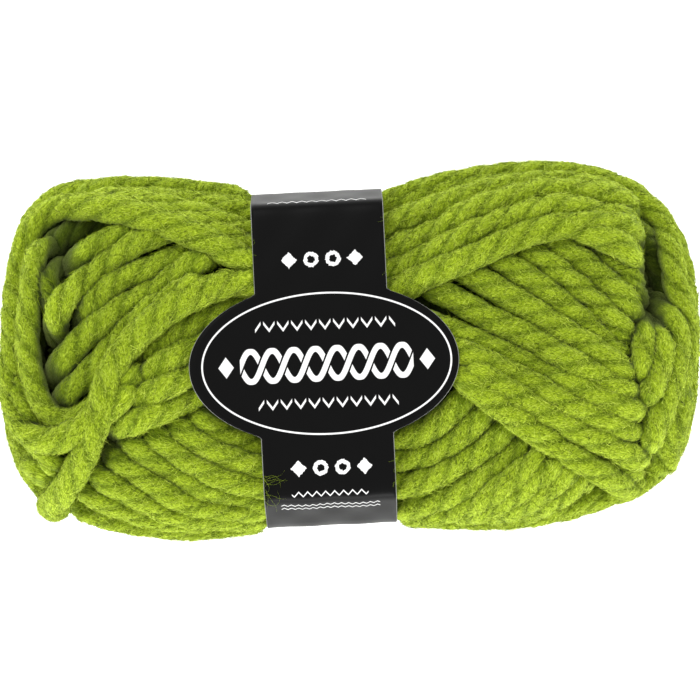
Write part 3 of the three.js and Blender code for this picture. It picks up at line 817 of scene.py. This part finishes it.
def fuzz_object(name, roots, kind, rng, material):
    """Short fibres that stand off the strands, each a thin spike with its foot in the yarn."""
    count = kind["count"]
    which = rng.choice(len(roots["points"]), count, p=roots["chance"])
    out, along = roots["radial"][which], roots["along"][which]
    around = np.cross(along, out)
    slant = FIBRE_SLANT + rng.normal(0, kind["scatter"], count)
    sign = np.where(rng.uniform(0, 1, count) < 0.5, 1.0, -1.0)[:, None]
    lean = unit(np.cos(slant)[:, None] * along - np.sin(slant)[:, None] * around) * sign
    length = rng.uniform(*kind["length"], count)[:, None]
    rise = rng.uniform(*kind["rise"], count)[:, None]
    foot = (roots["points"][which] + along * rng.uniform(-FOOT_ALONG, FOOT_ALONG, (count, 1))
            + around * rng.uniform(-FOOT_ASIDE, FOOT_ASIDE, (count, 1)) - out * FOOT_DEPTH)
    foot = foot - lean * length * FOOT_BACK
    tip = foot + lean * length + out * (rise + FOOT_DEPTH)
    side = unit(np.cross(tip - foot, out))
    radius = kind["radius"] * rng.uniform(*RADIUS_SHARES, (count, 1))
    base = three_sides(foot, radius, side, unit(np.cross(side, tip - foot)))
    points = np.concatenate([base, tip[:, None]], 1).reshape(-1, 3)
    pattern = np.array([(0, 1, 2), (0, 3, 1), (1, 3, 2), (2, 3, 0)])
    faces = (np.arange(count)[:, None, None] * 4 + pattern).reshape(-1, 3)
    piece = mesh_object(name, points, faces, material)
    # Painted shade: fibres rooted in crevices or deep turns get darker tones, the rest are random.
    tone = rng.uniform(0, 1, count) * (1 - TONE_SHARE + TONE_SHARE * roots["open"][which])
    store(piece, tone=np.repeat(tone, 4))
    return piece


# Long hairs that curl over the card's edge.
STRAYS = [
    # the edge's side, the stretch of it in the band's frame, how many, lengths
    (-1, (-31.0, -25.0), 12, (3.5, 8.0)),
    *((side, stretch, 10, (1.2, 2.4)) for side in (-1, 1)
      for stretch in ((-31.0, -19.0), (18.0, 34.0))),
]
STRAY_STEPS = 12
STRAY_RADIUS = 0.022
STRAY_TAPER = 0.7  # of its radius, lost by the tip
STRAY_OUTSIDE = 0.8  # where it comes out, from the card's edge
STRAY_LEAN = 0.9  # the most it starts out askew, in radians
STRAY_CURL = 3.5  # the most it turns by the tip
STRAY_WAVE = (0.5, 5)  # how far it wavers, and how fast
STRAY_RISE = (0.25, 0.5)  # over the card at its ends, and how much more in its middle
STRAY_DIP = (1.2, 0.2)  # how deep it comes from, and the share of it that does
STRAY_TONE = 0.45


def stray_object(rng, material):
    """The long hairs over the card, each a thin curled spike with three sides."""
    t = np.linspace(0, 1, STRAY_STEPS)
    (wave, waves), (over, hump), (dip, dipped) = STRAY_WAVE, STRAY_RISE, STRAY_DIP
    rings = []
    for side, stretch, count, lengths in STRAYS:
        for _ in range(count):
            length, curl = rng.uniform(*lengths), rng.uniform(-STRAY_CURL, STRAY_CURL)
            heading = (rng.uniform(-STRAY_LEAN, STRAY_LEAN) + curl * t
                       + wave * np.sin(waves * t + rng.uniform(0, 6)))
            start = -STRAP_WIDTH / 2 - STRAY_OUTSIDE
            x = start + np.cumsum(np.cos(heading)) * length / STRAY_STEPS
            y = rng.uniform(*stretch) + np.cumsum(np.sin(heading)) * length / STRAY_STEPS
            z = (face_height(y) + over + hump * np.sin(math.pi * t)
                 - dip * smoothstep(t, dipped, 0.0))
            line = from_band(np.column_stack([-side * x, y, z]))
            ahead = unit(np.gradient(line, axis=0))
            across = unit(np.cross(ahead, (0, 0, 1)))
            radius = (STRAY_RADIUS * (1 - STRAY_TAPER * t))[:, None]
            rings.append(three_sides(line, radius, across, np.cross(across, ahead)))
    faces = []
    for first in range(0, len(rings) * STRAY_STEPS * 3, STRAY_STEPS * 3):
        last = first + (STRAY_STEPS - 1) * 3
        for ring in range(first, last, 3):
            for a, b in ((0, 1), (1, 2), (2, 0)):
                a, b = ring + a, ring + b
                faces += [(a, b, b + 3), (a, b + 3, a + 3)]
        faces += [(first + 2, first + 1, first), (last, last + 1, last + 2)]
    points = np.array(rings).reshape(-1, 3)
    piece = mesh_object("yarn_strays", points, np.array(faces), material)
    store(piece, tone=np.full(len(points), STRAY_TONE))
    return piece


# ---- Materials

YARN_DARK = (0.14, 0.21, 0.004)
YARN_MIDDLE = (0.30, 0.42, 0.009)
YARN_LIGHT = (0.56, 0.70, 0.06)
# Painted shade, multiplied into the yarn's colour: deep in crevices and turns, half way out, and in
# the grooves between plies.
DEEP_SHADE = (0.045, 0.07, 0.012)
HALF_SHADE = (0.75, 0.77, 0.7)
GROOVE_SHADE = (0.55, 0.6, 0.5)
WHITE = (1, 1, 1)
FUZZ_DARK = (0.06, 0.10, 0.002)
FUZZ_LIGHT = (0.72, 0.86, 0.11)


def set_inputs(node, values):
    """Gives inputs of a node their values, or links them to sockets of other nodes."""
    for name, value in values.items():
        if isinstance(value, bpy.types.NodeSocket):
            node.id_data.links.new(value, node.inputs[name])
        else:
            node.inputs[name].default_value = value


def new_material(name, values):
    """A material with these values of its shader's inputs, its nodes and its shader."""
    material = bpy.data.materials.new(name)
    material.use_nodes = True
    shader = material.node_tree.nodes["Principled BSDF"]
    set_inputs(shader, values)
    return material, material.node_tree, shader


def new_node(tree, kind, values, **settings):
    node = tree.nodes.new("ShaderNode" + kind)
    for name, setting in settings.items():
        setattr(node, name, setting)
    set_inputs(node, values)
    return node


def stored(tree, name, output="Fac"):
    return new_node(tree, "Attribute", {}, attribute_name=name).outputs[output]


def noise(tree, **values):
    return new_node(tree, "TexNoise", values).outputs["Fac"]


def ramp(tree, number, stops):
    """The colour for a number, from (position, colour) stops."""
    node = new_node(tree, "ValToRGB", {0: number})
    elements = node.color_ramp.elements
    while len(elements) < len(stops):
        elements.new(0.5)
    for element, (position, colour) in zip(elements, stops):
        element.position = position
        element.color = (*colour, 1)
    return node.outputs[0]


def mixed(tree, blend, share, a, b):
    """Colour a with a share of colour b blended in."""
    return new_node(tree, "Mix", {"Factor": share, "A": a, "B": b},
                    data_type="RGBA", blend_type=blend).outputs["Result"]


def bump(tree, height, strength, distance):
    """The directions a surface faces when a noise raises it."""
    return new_node(tree, "Bump", {"Height": height, "Strength": strength,
                                   "Distance": distance * MM}).outputs["Normal"]


def yarn_material():
    """Fibres as slanted streaks, with painted shade between the plies and where strands close over
    it.
    """
    material, tree, shader = new_material("yarn", {
        "Roughness": 0.9, "Specular IOR Level": 0.1,
        "Sheen Weight": 0.35, "Sheen Roughness": 0.5, "Sheen Tint": (0.8, 0.95, 0.3, 1)})
    fibre = stored(tree, "fibre", "Vector")
    streaks = noise(tree, Vector=fibre, Scale=6.0, Detail=2, Roughness=0.7)
    colour = ramp(tree, streaks, [(0.36, YARN_DARK), (0.5, YARN_MIDDLE), (0.66, YARN_LIGHT)])
    # Painted shade: darker where the surface is less open, and in the grooves between plies.
    for name, shades in (("open", [(0.0, DEEP_SHADE), (0.5, HALF_SHADE), (1.0, WHITE)]),
                         ("crest", [(0.0, GROOVE_SHADE), (0.3, WHITE)])):
        colour = mixed(tree, "MULTIPLY", 1, colour, ramp(tree, stored(tree, name), shades))
    set_inputs(shader, {"Base Color": colour, "Normal": bump(tree, streaks, 0.8, 0.4)})
    return material


# Fuzz of random tones, darkened as painted shade where the fibres stand in crevices or deep turns.
def fuzz_material():
    material, tree, shader = new_material("yarn_fuzz", {
        "Roughness": 0.7, "Specular IOR Level": 0.2})
    set_inputs(shader, {"Base Color": ramp(tree, stored(tree, "tone"), [
        (0.0, FUZZ_DARK), (0.45, YARN_MIDDLE), (1.0, FUZZ_LIGHT)])})
    return material


class Value:
    """A number that differs over a surface, worked out by maths nodes."""

    def __init__(self, socket):
        self.socket = socket

    def do(self, operation, *others):
        values = [v.socket if isinstance(v, Value) else v for v in (self, *others)]
        return Value(new_node(self.socket.id_data, "Math", dict(enumerate(values)),
                              operation=operation).outputs[0])

    __add__ = partialmethod(do, "ADD")
    __sub__ = partialmethod(do, "SUBTRACT")
    __mul__ = partialmethod(do, "MULTIPLY")
    __truediv__ = partialmethod(do, "DIVIDE")
    __or__ = partialmethod(do, "MAXIMUM")
    __and__ = partialmethod(do, "MINIMUM")
    __abs__ = partialmethod(do, "ABSOLUTE")

    def below(self, limit, blur=0.1):
        """1 where the value is under the limit, 0 over it."""
        return ((self - limit) / -blur + 0.5).do("MAXIMUM", 0.0).do("MINIMUM", 1.0)

    def apart(self, spacing):
        """The distance along from the middle of the nearest of evenly spaced places."""
        return self - (self / spacing).do("ROUND") * spacing


# The print, in the band's frame with y as the way round it.
RING_MIDDLE = (0.6, -1.4)
RING_HALF_LENGTH = 27.6
RING_HALF_HEIGHT = 15.5
RING_LINE = 0.36
BRAID_HEIGHT = 3.3
BRAID_WAVE = 9.6
BRAID_LINE = 1.25
BRAID_GAP = 0.45
BRAID_HALF_LENGTH = 19.2
DIAMOND = (22.3, 1.7, 2.3)  # from the middle, half its length, half its height
STITCH_ROW = (8.6, 15.5)  # above and below the middle, half its length
STITCH_SPACING = 3.1
STITCH_SLOPE = 1.35
STITCH_POINT = 0.85  # how far a stitch's point is below the row's middle
STITCH_SHARE = 0.40  # of the spacing, on each side of a stitch's point
STITCH_LINE = 0.42
STAMP_ROWS = (21.6, -24.3)
STAMP_SPACING = 4.9
STAMP_SIZE = 1.75
STAMP_RING = (1.25, 0.42)  # radius, and half its line
STAMP_ROUGHNESS = 0.9  # of a ring, and what share of it a lozenge has
LOZENGE_SHARE = 0.6
ZIGZAGS = [
    # y, half length, spacing, height, line
    (36.6, 11.0, 2.2, 1.3, 0.22),
    (-30.2, 8.5, 2.0, 1.2, 0.22),
    (-34.4, 11.0, 1.6, 0.9, 0.18),
    (-36.4, 11.0, 1.6, 0.9, 0.18),
]
CARD_BLACK = (0.004, 0.004, 0.004, 1)
PRINT_WHITE = (0.86, 0.86, 0.85, 1)
EDGE_GREYS = [(0.3, (0.20, 0.20, 0.20)), (0.7, (0.34, 0.34, 0.33))]


def oval_distance(x, y, half_length, half_height):
    """About how far a place is from an ellipse's line, inside or outside it."""
    u, v = x / half_length, y / half_height
    reach = (u * u + v * v).do("SQRT")
    across, up = u / half_length, v / half_height
    return abs((reach - 1.0) * reach / (across * across + up * up).do("SQRT"))


def braid(x, y):
    """Two waving lines, each passing over the other in turn."""
    turn = x * (2 * math.pi / BRAID_WAVE)
    wave, slope = turn.do("SINE") * BRAID_HEIGHT, turn.do("COSINE")
    steep = slope * (BRAID_HEIGHT * 2 * math.pi / BRAID_WAVE)
    stretch = (steep * steep + 1.0).do("SQRT")
    one, other = abs(y - wave) / stretch, abs(y + wave) / stretch
    over, under = slope.below(0.0), (slope * -1.0).below(0.0)
    clear = BRAID_LINE / 2 + BRAID_GAP
    first = one.below(BRAID_LINE / 2) & (other.below(clear) * over * -1.0 + 1.0)
    second = other.below(BRAID_LINE / 2) & (one.below(clear) * under * -1.0 + 1.0)
    return (first | second) & abs(x).below(BRAID_HALF_LENGTH)


def stitches(x, y, half_length):
    """A row of small V shapes, like the face of a knitted row."""
    away = abs(x.apart(STITCH_SPACING))
    arm = abs(y - away * STITCH_SLOPE + STITCH_POINT) / math.hypot(1, STITCH_SLOPE)
    return (arm.below(STITCH_LINE / 2) & away.below(STITCH_SPACING * STITCH_SHARE)
            & abs(x).below(half_length))


def zigzag(x, y, half_length, spacing, height, line):
    slope = 2 * height / spacing
    away = abs(y - abs(x.apart(spacing)) * slope + height / 2) / math.hypot(1, slope)
    return away.below(line / 2) & abs(x).below(half_length)


def stamps(x, y, rough):
    """A row of four rough stamps: lozenge, ring, ring, lozenge."""
    radius, half_line = STAMP_RING
    aside = x.do("ABSOLUTE") - STAMP_SPACING / 2
    rings = abs(aside.do("POWER", 2.0) + y * y).do("SQRT") + rough
    ring = abs(rings - radius).below(half_line)
    lozenge = (abs(abs(x) - STAMP_SPACING * 1.5) + abs(y)) / STAMP_SIZE
    return ring | (lozenge + rough * LOZENGE_SHARE).below(1.0, 0.08)


def card_print(x, y, rough):
    """1 where the card is printed white."""
    middle_x, middle_y = x - RING_MIDDLE[0], y - RING_MIDDLE[1]
    place, half_length, half_height = DIAMOND
    row, row_half = STITCH_ROW
    ring = oval_distance(middle_x, middle_y, RING_HALF_LENGTH, RING_HALF_HEIGHT)
    diamond = abs(abs(middle_x) - place) / half_length + abs(middle_y) / half_height
    white = ring.below(RING_LINE / 2) | braid(middle_x, middle_y) | diamond.below(1.0)
    for at in (row, -row):
        white = white | stitches(middle_x, middle_y - at, row_half)
    for at in STAMP_ROWS:
        white = white | stamps(middle_x, y - at, rough)
    for at, *sizes in ZIGZAGS:
        white = white | zigzag(x, y - at, *sizes)
    return white


def card_material():
    """Black card with its white print, slightly glossy."""
    material, tree, shader = new_material("card", {
        "Roughness": 0.38, "Specular IOR Level": 0.045})
    place = stored(tree, "print", "Vector")
    axes = new_node(tree, "SeparateXYZ", {0: place}).outputs
    grain = noise(tree, Vector=place, Scale=1.6, Detail=4)
    rough = (Value(grain) - 0.5) * STAMP_ROUGHNESS
    white = card_print(Value(axes["X"]), Value(axes["Y"]), rough).socket
    set_inputs(shader, {"Base Color": mixed(tree, "MIX", white, CARD_BLACK, PRINT_WHITE),
                        "Normal": bump(tree, grain, 0.08, 0.1)})
    return material


def card_edge_material():
    """The grey board that shows at the card's cut edges and inside."""
    material, tree, shader = new_material("card_edge", {"Roughness": 0.85})
    set_inputs(shader, {"Base Color": ramp(tree, noise(tree, Scale=900), EDGE_GREYS)})
    return material


# ---- The scene

FLOOR_SIZE = 6  # metres
FLOOR_GLOW = 1.1
SENSOR = 36
LIGHTS = [
    # name, place in metres, size, power in watts
    ("key", (-0.35, 0.75, 0.9), 0.6, 5.6),
    ("front", (0.05, -1, 0.1), 0.6, 14),
    ("left", (-0.9, -0.1, 0.30), 0.5, 2),
    ("right", (0.9, 0.0, 0.30), 0.5, 2),
]


def studio():
    """A glowing white floor, soft light all round and a camera straight above the ball."""
    scene = bpy.context.scene
    scene.view_settings.view_transform = "Standard"
    scene.world = bpy.data.worlds.new("studio")
    scene.world.use_nodes = True
    set_inputs(scene.world.node_tree.nodes["Background"],
               {"Color": (1, 1, 1, 1), "Strength": 1.0})
    bpy.ops.mesh.primitive_plane_add(size=FLOOR_SIZE)
    floor = bpy.context.object
    floor.name = "floor"
    floor.data.materials.append(new_material("floor", {
        "Base Color": (0.8, 0.8, 0.8, 1), "Roughness": 0.9,
        "Emission Color": (1, 1, 1, 1), "Emission Strength": FLOOR_GLOW})[0])
    for name, place, size, power in LIGHTS:
        light = new_object(name, bpy.data.lights.new(name, "AREA"))
        light.data.size = size
        light.data.energy = power
        light.location = place
        light.rotation_euler = Vector(place).to_track_quat("Z", "Y").to_euler()
    camera = new_object("camera", bpy.data.cameras.new("camera"))
    camera.data.sensor_width = SENSOR
    camera.data.lens = SENSOR * CAMERA_HEIGHT / VIEW_WIDTH
    camera.data.clip_start = 0.01
    camera.location = (0, 0, (MIDDLE_HEIGHT + CAMERA_HEIGHT) * MM)
    scene.camera = camera


def build():
    strands = wind()
    shape_strands(strands)
    yarn, fuzz = yarn_material(), fuzz_material()
    loose = [s for s in strands if not s["closed"]]
    made = [
        strands_object("yarn_sides", [s for s in strands if s["closed"]], yarn),
        strands_object("yarn_top", [s for s in loose if s["side"] > 0], yarn),
        strands_object("yarn_under", [s for s in loose if s["side"] < 0], yarn),
        core_object(yarn),
    ]
    roots = fuzz_roots(strands)
    rng = np.random.default_rng(23)
    for kind in FUZZ:
        for k in range(kind["pieces"]):
            made.append(fuzz_object(f"yarn_fuzz_{kind['name']}_{k}", roots, kind, rng, fuzz))
    made.append(stray_object(rng, fuzz))
    for piece in made:
        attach(piece, "root")
        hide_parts("yarn_ball")
    card = card_object(card_material(), card_edge_material())
    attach(card, "root")
    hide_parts("label_band")


studio()
build()
